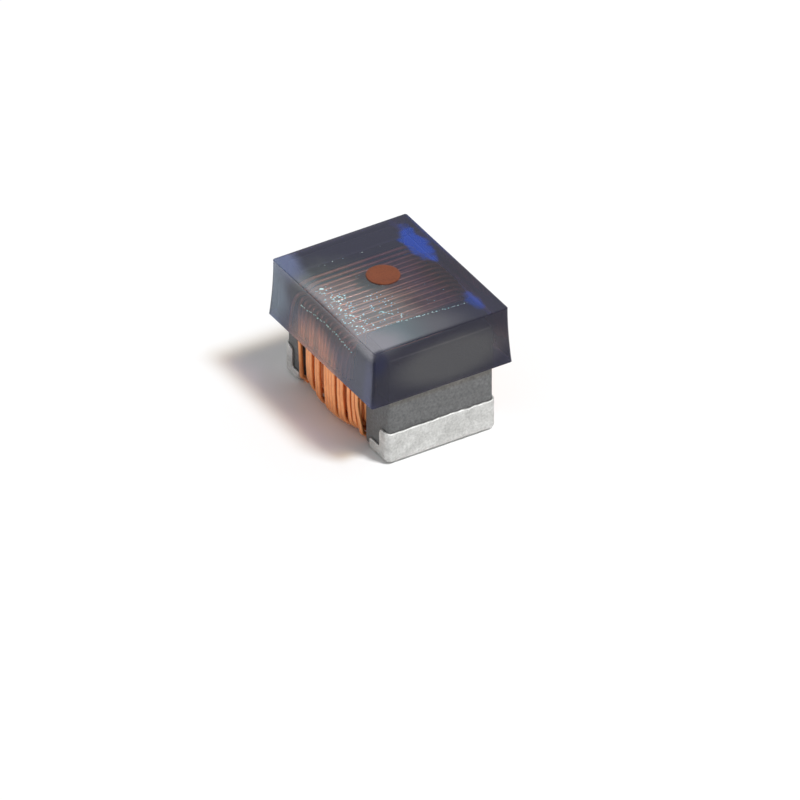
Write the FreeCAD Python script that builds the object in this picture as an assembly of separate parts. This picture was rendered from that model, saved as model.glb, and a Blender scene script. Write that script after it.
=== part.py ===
import FreeCAD, Part
import math
import os
from FreeCAD import Vector

# Wirewound chip inductor: a dumbbell ferrite core on two plated feet, a copper coil round
# its bar, and a translucent resin cap moulded over the upper half.
# Millimetres. The origin is on the seating plane under the middle of the core. X runs along
# the core towards its thicker flange, Y across it and Z up. The leads come down at -Y.

# Ferrite core
core_length = 2.04
core_width = 1.29
core_height = 1.28
front_flange = 0.465
rear_flange = 0.26
bar_width = 1.1
bar_edge_radius = 0.03
flange_edge_radius = 0.04

# Plated feet
plating = 0.03
foot_clearance = 0.002
end_plate_height = 0.385
front_wrap_length = 0.17
front_wrap_rise = 0.03
front_foot_length = 0.37
front_foot_height = 0.16
rear_wrap_length = 0.16
rear_wrap_rise = 0.0
rear_foot_length = 0.285
rear_foot_height = 0.13
wrap_corner_radius = 0.07
foot_corner_radius = 0.03

# Coil: two hidden layers as one closed bundle, and an outer layer of single turns
wire_diameter = 0.05
wire_sides = 8
hidden_layers = 2
bar_clearance = 0.005
layer_clearance = 0.005
turn_gap = 0.0015
coil_swell = 0.05
coil_above_seat = 0.01
coil_below_flange_top = 0.038
# On the lead side the turns bunch in banks, with a groove after each
bank_turn_counts = (3, 2, 4, 2, 1, 1)
bank_grooves = (0.088, 0.0995, 0.041, 0.0595, 0.0175, 0.0)
side_rear_space = 0.1955
side_front_space = 0.14
top_rear_space = 0.07
top_front_space = 0.05
under_rear_space = 0.225
under_front_space = 0.09
shoulder_drop = 0.32
ankle_rise = 0.33
bend_steps = 4
bundle_end_lean = 0.13
climb_length = 0.25

# Leads, and the flattened tails that are bonded into the feet
rear_lead_clearance = 0.01
front_lead_clearance = 0.03
lead_turn_gap = 0.02
lead_dive_height = 0.80
lead_knee_height = 0.42
lead_foot_height = 0.1
lead_bend_radius = 0.04
lead_lean = 0.035
tail_width = 0.08
tail_thickness = 0.014
tail_clearance = 0.003
tail_inset = 0.13
tail_grip = 0.16

# Resin cap
cap_cover = 0.17
cap_side_wall = 0.068
cap_end_wall = 0.0175
cap_height = 0.69
cap_side_flare = 0.038
cap_end_flare = 0.02
cap_corner_radius = 0.03
cap_rim_bevel = 0.012
cap_clearance = 0.004
cap_flare_height = 0.23
cap_flare_share = 0.4

# Colour dot
dot_diameter = 0.37
dot_thickness = 0.012
dot_rim_bevel = 0.006
dot_x = -0.168
dot_y = 0.015

# Places that several pieces share
core_half_length = core_length / 2
core_half_width = core_width / 2
core_bottom = plating
core_top = core_bottom + core_height
window_rear = -core_half_length + rear_flange
window_front = core_half_length - front_flange
wire_radius = wire_diameter / 2
bundle_thickness = hidden_layers * wire_diameter
outer_offset = bar_clearance + bundle_thickness + layer_clearance + wire_radius
stack_thickness = outer_offset + wire_radius
bar_half_width = bar_width / 2
bar_bottom = coil_above_seat + coil_swell + stack_thickness
bar_top = core_top - coil_below_flange_top - coil_swell - stack_thickness
coil_half_width = bar_half_width + outer_offset
coil_z_low = bar_bottom - outer_offset
coil_z_high = bar_top + outer_offset
coil_corner_radius = bar_edge_radius + outer_offset
coil_reach = bar_half_width + stack_thickness + coil_swell
cap_top = core_top + cap_cover
cap_bottom = cap_top - cap_height
tail_z = tail_clearance
lead_z = tail_clearance + wire_radius
lead_foot_y = -coil_half_width + lead_lean
tail_y = -coil_half_width + tail_inset
rear_lead_x = window_rear + rear_lead_clearance + wire_radius
front_lead_x = window_front - front_lead_clearance - wire_radius


def side_places():
    """X of each turn on the lead side, from the rear, as many as the window holds."""
    pitch = wire_diameter + turn_gap
    limit = window_front - side_front_space - wire_radius
    x = window_rear + side_rear_space + wire_radius
    places = []
    for turns, groove in zip(bank_turn_counts, bank_grooves):
        for _ in range(turns):
            if x <= limit:
                places.append(x)
            x += pitch
        x += groove
    return places


def top_places(count):
    """X of the runs over the top, spread evenly between the flanges, from the rear."""
    first = window_rear + top_rear_space + wire_radius
    last = window_front - top_front_space - wire_radius
    step = (last - first) / (count - 1)
    return [first + step * i for i in range(count)]


def under_places(side_x):
    """X of the runs underneath, in the same banks as on the lead side, from the rear."""
    first = window_rear + under_rear_space + wire_radius
    last = window_front - under_front_space - wire_radius
    stretch = (last - first) / (side_x[-1] - side_x[0])
    return [first + (x - side_x[0]) * stretch for x in side_x]


def rounded_edges(points, radii, closed=False):
    """Straight runs joined by tangent arcs; each point has its own radius, 0 for none."""
    count = len(points)
    entries = []
    for i, point in enumerate(points):
        is_end = not closed and i in (0, count - 1)
        if is_end or radii[i] == 0:
            entries.append((point, None, point))
            continue
        back = (points[i - 1] - point).normalize()
        ahead = (points[(i + 1) % count] - point).normalize()
        half_angle = back.getAngle(ahead) / 2
        reach = radii[i] / math.tan(half_angle)
        start = point + back * reach
        end = point + ahead * reach
        middle = point + (back + ahead).normalize() * (radii[i] / math.sin(half_angle) - radii[i])
        entries.append((start, Part.Arc(start, middle, end).toShape(), end))
    edges = []
    pairs = zip(entries, entries[1:] + entries[:1] if closed else entries[1:])
    for (_, arc, end), (start, _, _) in pairs:
        if arc:
            edges.append(arc)
        edges.append(Part.LineSegment(end, start).toShape())
    return edges


def rounded_outline(points, radius):
    """Closed wire through the points, with every corner rounded alike."""
    return Part.Wire(rounded_edges(points, [radius] * len(points), closed=True))


def ring_outline(x, half_width, z_low, z_high, radius):
    """Rounded rectangle across the core at one X."""
    corners = [
        Vector(x, -half_width, z_low),
        Vector(x, half_width, z_low),
        Vector(x, half_width, z_high),
        Vector(x, -half_width, z_high),
    ]
    return rounded_outline(corners, radius)


def stepped_bends(points, radii):
    """The path's points, with each rounded corner turned in a few straight steps."""
    path = [points[0]]
    for i in range(1, len(points) - 1):
        point = points[i]
        if radii[i] == 0:
            path.append(point)
            continue
        back = (points[i - 1] - point).normalize()
        ahead = (points[i + 1] - point).normalize()
        half_angle = back.getAngle(ahead) / 2
        centre = point + (back + ahead).normalize() * (radii[i] / math.sin(half_angle))
        spoke = point + back * (radii[i] / math.tan(half_angle)) - centre
        turn = FreeCAD.Rotation(back.cross(ahead), -math.degrees(math.pi - 2 * half_angle) / bend_steps)
        for _ in range(bend_steps + 1):
            path.append(centre + spoke)
            spoke = turn.multVec(spoke)
    path.append(points[-1])
    return path


def wire_section(centre, along):
    """Corners of the wire's many-sided section, square to the path at its start."""
    side = along.cross(Vector(1, 0, 0)).normalize()
    across = side.cross(along).normalize()
    corners = []
    for i in range(wire_sides):
        angle = math.pi * (2 * i + 1) / wire_sides
        corners.append(centre + (across * math.cos(angle) + side * math.sin(angle)) * wire_radius)
    return corners


def wire_along(points, radii):
    """Solid wire in straight steps, mitred where they meet."""
    path = stepped_bends(points, radii)
    headings = [(b - a).normalize() for a, b in zip(path, path[1:])]
    section = wire_section(path[0], headings[0])
    faces = [Part.Face(Part.makePolygon(section + section[:1]))]
    for i, heading in enumerate(headings):
        mitre = heading
        if i + 1 < len(headings):
            mitre = heading + headings[i + 1]
        shifts = [(path[i + 1] - corner).dot(mitre) / heading.dot(mitre) for corner in section]
        ahead = [corner + heading * shift for corner, shift in zip(section, shifts)]
        for j in range(wire_sides):
            outline = [section[j - 1], section[j], ahead[j], ahead[j - 1], section[j - 1]]
            faces.append(Part.Face(Part.makePolygon(outline)))
        section = ahead
    faces.append(Part.Face(Part.makePolygon(section + section[:1])))
    shell = Part.makeShell(faces)
    shell.sewShape()
    return Part.makeSolid(shell)


def flange_block(x_low, x_high, margin, round_under=False):
    """One flange, grown by a margin all round, with its upright edges rounded."""
    width = core_width + 2 * margin
    corner = Vector(x_low - margin, -width / 2, core_bottom - margin)
    block = Part.makeBox(x_high - x_low + 2 * margin, width, core_height + 2 * margin, corner)
    edges = []
    for edge in block.Edges:
        heights = [vertex.Z for vertex in edge.Vertexes]
        upright = max(heights) - min(heights) > core_height / 2
        under = max(heights) < core_bottom + core_height / 2
        if upright or (under and round_under):
            edges.append(edge)
    return block.makeFillet(flange_edge_radius + margin, edges)


def make_core():
    """Two flanges and the bar between them, pressed in one piece."""
    bar_start = window_rear - flange_edge_radius
    bar_end = window_front + flange_edge_radius
    bar_face = Part.Face(ring_outline(bar_start, bar_half_width, bar_bottom, bar_top, bar_edge_radius))
    bar = bar_face.extrude(Vector(bar_end - bar_start, 0, 0))
    rear = flange_block(-core_half_length, window_rear, 0)
    front = flange_block(window_front, core_half_length, 0)
    return bar.fuse([rear, front]).removeSplitter()


def tail_box(end_x, inner_x, margin):
    """Flattened tail of a lead, from under the window into a foot; grown it is the groove."""
    low_x = min(end_x, inner_x)
    length = abs(end_x - inner_x)
    corner = Vector(low_x - margin, tail_y - tail_width / 2 - margin, tail_z - margin)
    return Part.makeBox(length + 2 * margin, tail_width + 2 * margin, tail_thickness + 2 * margin, corner)


def rear_tail(margin):
    foot_edge = -core_half_length - plating + rear_foot_length
    return tail_box(foot_edge - tail_grip, rear_lead_x + wire_radius, margin)


def front_tail(margin):
    foot_edge = core_half_length + plating - front_foot_length
    return tail_box(foot_edge + tail_grip, front_lead_x - wire_radius, margin)


def make_foot(x_low, x_high, profile, groove):
    """Plating on one flange, kept where the profile covers it, with a groove for the tail."""
    skin = flange_block(x_low, x_high, plating, True).cut(flange_block(x_low, x_high, foot_clearance))
    radii = [0, 0, 0, wrap_corner_radius, foot_corner_radius, foot_corner_radius, 0]
    outline = Part.Face(Part.Wire(rounded_edges(profile, radii, closed=True)))
    return skin.common(outline.extrude(Vector(0, 2 * core_width, 0))).cut(groove)


def foot_profile(end_sign, wrap_length, wrap_rise, foot_length, foot_height):
    """Side outline of a foot: the tall wrap by the end face, then the low strip."""
    end_x = end_sign * (core_half_length + plating)
    wrap_x = end_x - end_sign * wrap_length
    foot_x = end_x - end_sign * foot_length
    past_end = end_x + end_sign * plating
    return [
        Vector(past_end, -core_width, -plating),
        Vector(past_end, -core_width, end_plate_height),
        Vector(end_x, -core_width, end_plate_height),
        Vector(wrap_x, -core_width, end_plate_height + wrap_rise),
        Vector(wrap_x, -core_width, foot_height),
        Vector(foot_x, -core_width, foot_height),
        Vector(foot_x, -core_width, -plating),
    ]


def make_front_foot():
    profile = foot_profile(1, front_wrap_length, front_wrap_rise, front_foot_length, front_foot_height)
    return make_foot(window_front, core_half_length, profile, front_tail(tail_clearance))


def make_rear_foot():
    profile = foot_profile(-1, rear_wrap_length, rear_wrap_rise, rear_foot_length, rear_foot_height)
    return make_foot(-core_half_length, window_rear, profile, rear_tail(tail_clearance))


def swell_at(x, first, last):
    """How far a turn stands out from the ends of the coil, most in the middle."""
    across = (2 * x - first - last) / (last - first)
    return coil_swell * max(0.0, 1 - across * across)


def outer_layer():
    """The single turns, from the climb out of the bundle to the rear lead."""
    side_x = side_places()
    turns = len(side_x)
    top_x = top_places(turns + 1)
    under_x = under_places(side_x)
    shoulder_z = coil_z_high - shoulder_drop
    ankle_z = coil_z_low + ankle_rise
    start_x = top_x[turns]
    points = [
        Vector(start_x, climb_length, bar_top + bar_clearance + wire_radius),
        Vector(start_x, 0, coil_z_high),
    ]
    radii = [0, 0]
    for turn in reversed(range(turns)):
        swell = swell_at(side_x[turn], side_x[0], side_x[-1])
        wide = coil_half_width + swell
        high = coil_z_high + swell
        low = coil_z_low - swell
        if turn < turns - 1:
            points.append(Vector(top_x[turn + 1], wide, high))
            radii.append(coil_corner_radius)
        points.append(Vector(top_x[turn + 1], -wide, high))
        points.append(Vector(side_x[turn], -wide, shoulder_z))
        points.append(Vector(side_x[turn], -wide, ankle_z))
        points.append(Vector(under_x[turn], -wide, low))
        points.append(Vector(under_x[turn], wide, low))
        radii += [coil_corner_radius, 0, 0, coil_corner_radius, coil_corner_radius]
    points.append(Vector(top_x[0], coil_half_width, coil_z_high))
    points.append(Vector(top_x[0], -coil_half_width, coil_z_high))
    points.append(Vector(rear_lead_x, -coil_half_width, shoulder_z))
    points.append(Vector(rear_lead_x, lead_foot_y, lead_foot_height))
    points.append(Vector(rear_lead_x, tail_y, lead_z))
    radii += [coil_corner_radius, coil_corner_radius, 0, lead_bend_radius, 0]
    return wire_along(points, radii)


def front_lead():
    """From the front foot up beside the last turn, then into the bundle."""
    upright_x = side_places()[-1] + wire_diameter + lead_turn_gap
    deep_y = -coil_half_width + wire_diameter + layer_clearance
    points = [
        Vector(front_lead_x, tail_y, lead_z),
        Vector(front_lead_x, lead_foot_y, lead_foot_height),
        Vector(upright_x, -coil_half_width, lead_knee_height),
        Vector(upright_x, -coil_half_width, lead_dive_height),
        Vector(upright_x, deep_y, lead_dive_height + 3 * wire_diameter),
    ]
    radii = [0, lead_bend_radius, 0, 0, 0]
    return wire_along(points, radii)


def make_bundle():
    """The hidden layers as one closed ring on the bar, its front end leaning forward."""
    rear_x = window_rear + side_rear_space
    top_front_x = window_front - top_front_space
    inner = bar_clearance
    outer = bar_clearance + bundle_thickness
    outline = ring_outline(rear_x, bar_half_width + outer, bar_bottom - outer, bar_top + outer, bar_edge_radius + outer)
    opening = ring_outline(rear_x, bar_half_width + inner, bar_bottom - inner, bar_top + inner, bar_edge_radius + inner)
    length = Vector(top_front_x - rear_x, 0, 0)
    ring = Part.Face(outline).extrude(length).cut(Part.Face(opening).extrude(length))
    reach = 2 * coil_reach
    wedge = Part.Face(Part.makePolygon([
        Vector(top_front_x, -reach, bar_top + outer),
        Vector(top_front_x + bundle_end_lean, -reach, bar_bottom - outer),
        Vector(top_front_x - bundle_end_lean, -reach, bar_bottom - outer),
        Vector(top_front_x, -reach, bar_top + outer),
    ]))
    return ring.cut(wedge.extrude(Vector(0, 2 * reach, 0)))


def make_winding():
    """The whole wire: bundle, outer layer, both leads and their flattened tails."""
    return make_bundle().fuse([outer_layer(), front_lead(), rear_tail(0), front_tail(0)])


def cap_section(z, flare, inset):
    """Outline of the cap at one height; flare is the share of its spread at the foot."""
    half_x = core_half_length + cap_end_wall + cap_end_flare * flare - inset
    half_y = coil_reach + cap_side_wall + cap_side_flare * flare - inset
    corners = [
        Vector(-half_x, -half_y, z),
        Vector(half_x, -half_y, z),
        Vector(half_x, half_y, z),
        Vector(-half_x, half_y, z),
    ]
    return rounded_outline(corners, cap_corner_radius - inset)


def coil_room():
    """Room in the cap for the coil and its leads, from flange to flange."""
    half_width = coil_reach + cap_clearance
    z_high = coil_z_high + wire_radius + coil_swell + cap_clearance
    radius = coil_corner_radius + wire_radius
    outline = ring_outline(window_rear - cap_clearance, half_width, core_bottom, z_high, radius)
    return Part.Face(outline).extrude(Vector(window_front - window_rear + 2 * cap_clearance, 0, 0))


def make_cap():
    """Flared resin block, moulded over the flanges and the upper part of the coil."""
    sections = [
        cap_section(cap_bottom, 1, 0),
        cap_section(cap_bottom + cap_flare_height, cap_flare_share, 0),
        cap_section(cap_top - cap_rim_bevel, 0, 0),
        cap_section(cap_top, 0, cap_rim_bevel),
    ]
    block = Part.makeLoft(sections, True, True)
    rear_room = flange_block(-core_half_length, window_rear, cap_clearance)
    front_room = flange_block(window_front, core_half_length, cap_clearance)
    return block.cut([rear_room, front_room, coil_room()])


def make_dot():
    """Painted dot on the cap's top, thicker than print and soft at its rim."""
    disc = Part.makeCylinder(dot_diameter / 2, dot_thickness, Vector(dot_x, dot_y, cap_top))
    rim = [e for e in disc.Edges if min(v.Z for v in e.Vertexes) > cap_top + dot_thickness / 2]
    return disc.makeChamfer(dot_rim_bevel, rim)


def export(name, shape):
    """Write one piece, after checking that it is one closed solid."""
    solids = shape.Solids
    if len(solids) != 1 or not shape.isValid():
        print("check", name, "solids:", len(solids), "valid:", shape.isValid())
    solids[0].exportStep("parts/" + name + ".step")
    box = solids[0].BoundBox
    print(name, "volume", round(solids[0].Volume, 5), "faces", len(solids[0].Faces))
    print("  x", round(box.XMin, 3), round(box.XMax, 3), "y", round(box.YMin, 3), round(box.YMax, 3),
          "z", round(box.ZMin, 3), round(box.ZMax, 3))


os.makedirs("parts", exist_ok=True)
export("core", make_core())
export("front_terminal", make_front_foot())
export("rear_terminal", make_rear_foot())
export("winding", make_winding())
export("resin_cap", make_cap())
export("colour_dot", make_dot())
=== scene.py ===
import math
import bmesh
import bpy
from mathutils import Matrix, Quaternion, Vector, noise


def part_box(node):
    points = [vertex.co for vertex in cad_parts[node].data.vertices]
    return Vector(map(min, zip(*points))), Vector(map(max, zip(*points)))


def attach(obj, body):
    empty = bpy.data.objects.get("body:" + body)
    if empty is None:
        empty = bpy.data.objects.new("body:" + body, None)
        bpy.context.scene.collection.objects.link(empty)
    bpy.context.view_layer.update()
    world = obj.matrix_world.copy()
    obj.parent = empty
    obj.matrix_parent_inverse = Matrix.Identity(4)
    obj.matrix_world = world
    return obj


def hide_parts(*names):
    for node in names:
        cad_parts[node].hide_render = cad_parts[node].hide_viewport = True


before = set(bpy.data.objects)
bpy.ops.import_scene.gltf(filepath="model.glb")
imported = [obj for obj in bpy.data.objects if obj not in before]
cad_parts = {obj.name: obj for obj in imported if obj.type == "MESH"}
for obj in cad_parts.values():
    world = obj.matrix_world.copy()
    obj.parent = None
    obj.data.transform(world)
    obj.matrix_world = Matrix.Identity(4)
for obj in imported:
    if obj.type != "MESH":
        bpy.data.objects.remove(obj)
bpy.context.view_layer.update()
scene = bpy.context.scene
mm = 0.001  # pieces are drawn in millimetres and settled in metres at the end


def boxOf(node):  # a node's lowest and highest corners, in millimetres
    low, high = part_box(node)
    return Vector(low) / mm, Vector(high) / mm


coreLow, coreHigh = boxOf("core")
capLow, capHigh = boxOf("resin_cap")
frontLow, frontHigh = boxOf("front_terminal")
rearLow, rearHigh = boxOf("rear_terminal")
windingHigh = boxOf("winding")[1]
dotLow, dotHigh = boxOf("colour_dot")

# The coil and the bar, in millimetres, the same sizes as the solids have
coil = {
    "wire": 0.05,
    "sides": 16,
    "hiddenLayers": 2,
    "barClearance": 0.005,
    "layerClearance": 0.005,
    "turnGap": 0.0015,
    "swell": 0.05,
    "barWidth": 1.1,
    "barRounding": 0.03,
    "aboveSeat": 0.01,
    "belowFlangeTop": 0.038,
    "bankTurns": (3, 2, 4, 2, 1, 1),  # turns side by side, from the thin flange on
    "bankGrooves": (0.088, 0.0995, 0.041, 0.0595, 0.0175, 0.0),  # the space after each bank
    "rearFlange": 0.26,
    "frontFlange": 0.465,
    "sideRearSpace": 0.1955,
    "topRearSpace": 0.07,
    "topFrontSpace": 0.05,
    "underRearSpace": 0.225,
    "underFrontSpace": 0.09,
    "shoulderDrop": 0.32,
    "ankleRise": 0.33,
    "softBend": 0.5,
    "bendSteps": 8,
    "climb": 0.25,
    "rearLeadClearance": 0.01,
    "frontLeadClearance": 0.03,
    "leadGap": 0.02,
    "leadKnee": 0.42,
    "leadFoot": 0.1,
    "leadDive": 0.80,
    "leadBend": 0.04,
    "leadLean": 0.035,
    "tailClearance": 0.003,
    "tailInset": 0.13,
    "tailWidth": 0.08,
    "tailThickness": 0.014,
    "tailRounding": 0.005,
    "tailGrip": 0.16,
    "tailBevelSteps": 3,
    "rearFootLength": 0.285,
    "stray": 0.0035,
    "strayPace": 1.37,
    "straySeed": (3.1, 0.5),
}
coil["radius"] = coil["wire"] / 2
coil["windowRear"] = coreLow.x + coil["rearFlange"]
coil["windowFront"] = coreHigh.x - coil["frontFlange"]
coil["bundle"] = coil["hiddenLayers"] * coil["wire"]
coil["offset"] = coil["barClearance"] + coil["bundle"] + coil["layerClearance"] + coil["radius"]
coil["stack"] = coil["offset"] + coil["radius"]
coil["barLow"] = coil["aboveSeat"] + coil["swell"] + coil["stack"]
coil["barHigh"] = coreHigh.z - coil["belowFlangeTop"] - coil["swell"] - coil["stack"]
coil["halfWidth"] = coil["barWidth"] / 2 + coil["offset"]
coil["low"] = coil["barLow"] - coil["offset"]
coil["high"] = coil["barHigh"] + coil["offset"]
coil["corner"] = coil["barRounding"] + coil["offset"]
coil["leadHeight"] = coil["tailClearance"] + coil["radius"]
coil["tailPlace"] = -coil["halfWidth"] + coil["tailInset"]
coil["diveRise"] = 3 * coil["wire"]
coil["diveBend"] = coil["softBend"] / 3


# Drawing helpers

nearlyStraight = math.radians(89.5)  # half the angle at a corner that is too slight to round


def roundedRectangle(halfA, halfB, rounding, cornerSteps, sideSteps=1):
    points = []
    corners = ((1, 1, 0), (-1, 1, 90), (-1, -1, 180), (1, -1, 270))
    for index, (signA, signB, startAngle) in enumerate(corners):
        centre = Vector((signA * (halfA - rounding), signB * (halfB - rounding)))
        for step in range(cornerSteps + 1):
            angle = math.radians(startAngle + 90 * step / cornerSteps)
            points.append(centre + rounding * Vector((math.cos(angle), math.sin(angle))))
        nextA, nextB, nextAngle = corners[(index + 1) % 4]
        angle = math.radians(nextAngle)
        nextCentre = Vector((nextA * (halfA - rounding), nextB * (halfB - rounding)))
        nextStart = nextCentre + rounding * Vector((math.cos(angle), math.sin(angle)))
        last = points[-1]
        for step in range(1, sideSteps):
            points.append(last.lerp(nextStart, step / sideSteps))
    return points


def meshFromRings(name, rings):  # skins the rings in order and closes both ends
    count = len(rings[0])
    vertices = [point for ring in rings for point in ring]
    faces = []
    for level in range(len(rings) - 1):
        base = level * count
        for i in range(count):
            j = (i + 1) % count
            faces.append((base + i, base + j, base + count + j, base + count + i))
    faces.append(tuple(reversed(range(count))))
    faces.append(tuple(range((len(rings) - 1) * count, len(rings) * count)))
    mesh = bpy.data.meshes.new(name)
    mesh.from_pydata([tuple(v) for v in vertices], [], faces)
    outward(mesh)
    return mesh


def outward(mesh):  # turns every face to the outside
    work = bmesh.new()
    work.from_mesh(mesh)
    bmesh.ops.recalc_face_normals(work, faces=work.faces)
    work.to_mesh(mesh)
    work.free()


def softPath(points, roundings, steps):  # turns each corner of a path in small steps
    path = [points[0]]
    for i in range(1, len(points) - 1):
        point = points[i]
        back = (points[i - 1] - point).normalized()
        ahead = (points[i + 1] - point).normalized()
        halfAngle = back.angle(ahead) / 2
        if roundings[i] == 0 or halfAngle > nearlyStraight:
            path.append(point)
            continue
        centre = point + (back + ahead).normalized() * (roundings[i] / math.sin(halfAngle))
        spoke = point + back * (roundings[i] / math.tan(halfAngle)) - centre
        turning = math.pi - 2 * halfAngle
        count = max(2, math.ceil(steps * turning / math.radians(90)))
        turn = Quaternion(back.cross(ahead), -turning / count)
        for _ in range(count + 1):
            path.append(centre + spoke)
            spoke = turn @ spoke
    path.append(points[-1])
    return path


def wireframeFromPaths(name, paths):
    vertices, edges = [], []
    for path in paths:
        first = len(vertices)
        vertices += [tuple(p) for p in path]
        edges += [(first + i, first + i + 1) for i in range(len(path) - 1)]
    mesh = bpy.data.meshes.new(name)
    mesh.from_pydata(vertices, edges, [])
    return mesh


def bakedModifiers(piece):  # the evaluated shape as a plain mesh, modifiers gone
    graph = bpy.context.evaluated_depsgraph_get()
    mesh = bpy.data.meshes.new_from_object(piece.evaluated_get(graph))
    piece.modifiers.clear()
    old = piece.data
    piece.data = mesh
    bpy.data.meshes.remove(old)


def addObject(name, data):
    added = bpy.data.objects.new(name, data)
    scene.collection.objects.link(added)
    return added


def settle(piece, material, nodes, sharpAngle):  # makes it metres and dresses it
    piece.data.transform(Matrix.Scale(mm, 4))
    piece.data.materials.clear()
    piece.data.materials.append(material)
    piece.data.shade_smooth()
    piece.data.set_sharp_from_angle(angle=math.radians(sharpAngle))
    if nodes:
        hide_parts(*nodes)
    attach(piece, "root")


# Node helpers and shader groups

def inputSocket(tree, name, value, kind="NodeSocketFloat"):  # None where the kind holds no value
    socket = tree.interface.new_socket(name, in_out="INPUT", socket_type=kind)
    if value is not None:
        socket.default_value = value


def outputSocket(tree, name, kind="NodeSocketFloat"):
    tree.interface.new_socket(name, in_out="OUTPUT", socket_type=kind)


def mathNode(nodes, operation, kind="ShaderNodeMath"):
    node = nodes.new(kind)
    node.operation = operation
    return node


def placeInMillimetres(nodes, links):
    place = nodes.new("ShaderNodeTexCoord")
    toMillimetres = nodes.new("ShaderNodeMapping")
    toMillimetres.inputs["Scale"].default_value = (1 / mm, 1 / mm, 1 / mm)
    links.new(place.outputs["Object"], toMillimetres.inputs["Vector"])
    return toMillimetres.outputs["Vector"]


def surfaceGrain():  # fine speckle over slow mottle, both per millimetre of the piece
    tree = bpy.data.node_groups.new("surfaceGrain", "ShaderNodeTree")
    inputSocket(tree, "Speckle per mm", 40)
    inputSocket(tree, "Mottle per mm", 4)
    inputSocket(tree, "Mottle Share", 0.4)
    outputSocket(tree, "Mix")
    nodes, links = tree.nodes, tree.links
    given, result = nodes.new("NodeGroupInput"), nodes.new("NodeGroupOutput")
    place = placeInMillimetres(nodes, links)
    speckle = nodes.new("ShaderNodeTexNoise")
    speckle.inputs["Detail"].default_value = 3
    speckle.inputs["Roughness"].default_value = 0.6
    mottle = nodes.new("ShaderNodeTexNoise")
    mottle.inputs["Detail"].default_value = 4
    for texture, socketName in ((speckle, "Speckle per mm"), (mottle, "Mottle per mm")):
        links.new(place, texture.inputs["Vector"])
        links.new(given.outputs[socketName], texture.inputs["Scale"])
    blend = nodes.new("ShaderNodeMix")
    links.new(given.outputs["Mottle Share"], blend.inputs[0])
    links.new(speckle.outputs[0], blend.inputs[2])
    links.new(mottle.outputs[0], blend.inputs[3])
    links.new(blend.outputs[0], result.inputs["Mix"])
    return tree


def softZone():  # 1 about a place on the piece, 0 away from it, with a soft and ragged edge
    tree = bpy.data.node_groups.new("softZone", "ShaderNodeTree")
    inputSocket(tree, "Centre", (0, 0, 0), "NodeSocketVector")
    inputSocket(tree, "Reach", (1, 1, 1), "NodeSocketVector")
    inputSocket(tree, "Softness", 0.3)
    inputSocket(tree, "Raggedness", 0.0)
    inputSocket(tree, "Tatters per mm", 6.0)
    outputSocket(tree, "Mask")
    nodes, links = tree.nodes, tree.links
    given, result = nodes.new("NodeGroupInput"), nodes.new("NodeGroupOutput")
    place = placeInMillimetres(nodes, links)
    away = mathNode(nodes, "SUBTRACT", "ShaderNodeVectorMath")
    links.new(place, away.inputs[0])
    links.new(given.outputs["Centre"], away.inputs[1])
    scaled = mathNode(nodes, "DIVIDE", "ShaderNodeVectorMath")
    links.new(away.outputs[0], scaled.inputs[0])
    links.new(given.outputs["Reach"], scaled.inputs[1])
    length = mathNode(nodes, "LENGTH", "ShaderNodeVectorMath")
    links.new(scaled.outputs[0], length.inputs[0])
    tatters = nodes.new("ShaderNodeTexNoise")
    tatters.inputs["Detail"].default_value = 3
    links.new(place, tatters.inputs["Vector"])
    links.new(given.outputs["Tatters per mm"], tatters.inputs["Scale"])
    centred = mathNode(nodes, "SUBTRACT")
    centred.inputs[1].default_value = 0.5
    links.new(tatters.outputs[0], centred.inputs[0])
    ragged = mathNode(nodes, "MULTIPLY_ADD")
    links.new(centred.outputs[0], ragged.inputs[0])
    links.new(given.outputs["Raggedness"], ragged.inputs[1])
    links.new(length.outputs["Value"], ragged.inputs[2])
    fade = nodes.new("ShaderNodeMapRange")  # from 1 inside the edge to 0 outside it
    fade.interpolation_type = "SMOOTHSTEP"
    links.new(ragged.outputs[0], fade.inputs["Value"])
    for operation, socketName in (("ADD", "From Min"), ("SUBTRACT", "From Max")):
        edge = mathNode(nodes, operation)
        edge.inputs[0].default_value = 1.0
        links.new(given.outputs["Softness"], edge.inputs[1])
        links.new(edge.outputs[0], fade.inputs[socketName])
    links.new(fade.outputs[0], result.inputs["Mask"])
    return tree


grainGroup = surfaceGrain()
zoneGroup = softZone()


def newMaterial(name):
    material = bpy.data.materials.new(name)
    material.use_nodes = True
    nodes = material.node_tree.nodes
    return material, nodes, material.node_tree.links, nodes["Principled BSDF"]


def filledGroup(nodes, tree, names, values):
    node = nodes.new("ShaderNodeGroup")
    node.node_tree = tree
    for name, value in zip(names, values):
        node.inputs[name].default_value = value
    return node


def grainNode(nodes, grain):
    names = ("Speckle per mm", "Mottle per mm", "Mottle Share")
    return filledGroup(nodes, grainGroup, names, grain)


def zonedColour(nodes, links, ground, tintAndPaintedLight):  # lays each zone's colour over those before it
    below = ground
    for *shape, colour in tintAndPaintedLight:
        layer = nodes.new("ShaderNodeMix")
        layer.data_type = "RGBA"
        layer.inputs["B"].default_value = (*colour, 1)
        if isinstance(below, tuple):
            layer.inputs["A"].default_value = (*below, 1)
        else:
            links.new(below, layer.inputs["A"])
        zone = filledGroup(nodes, zoneGroup, ("Centre", "Reach", "Softness", "Raggedness"), shape)
        links.new(zone.outputs["Mask"], layer.inputs["Factor"])
        below = layer.outputs["Result"]
    return below


def colourRamp(nodes, stops):
    ramp = nodes.new("ShaderNodeValToRGB")
    elements = ramp.color_ramp.elements
    while len(elements) < len(stops):
        elements.new(0.5)
    for element, (position, colour) in zip(elements, stops):
        element.position = position
        element.color = (*colour, 1)
    return ramp


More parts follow.
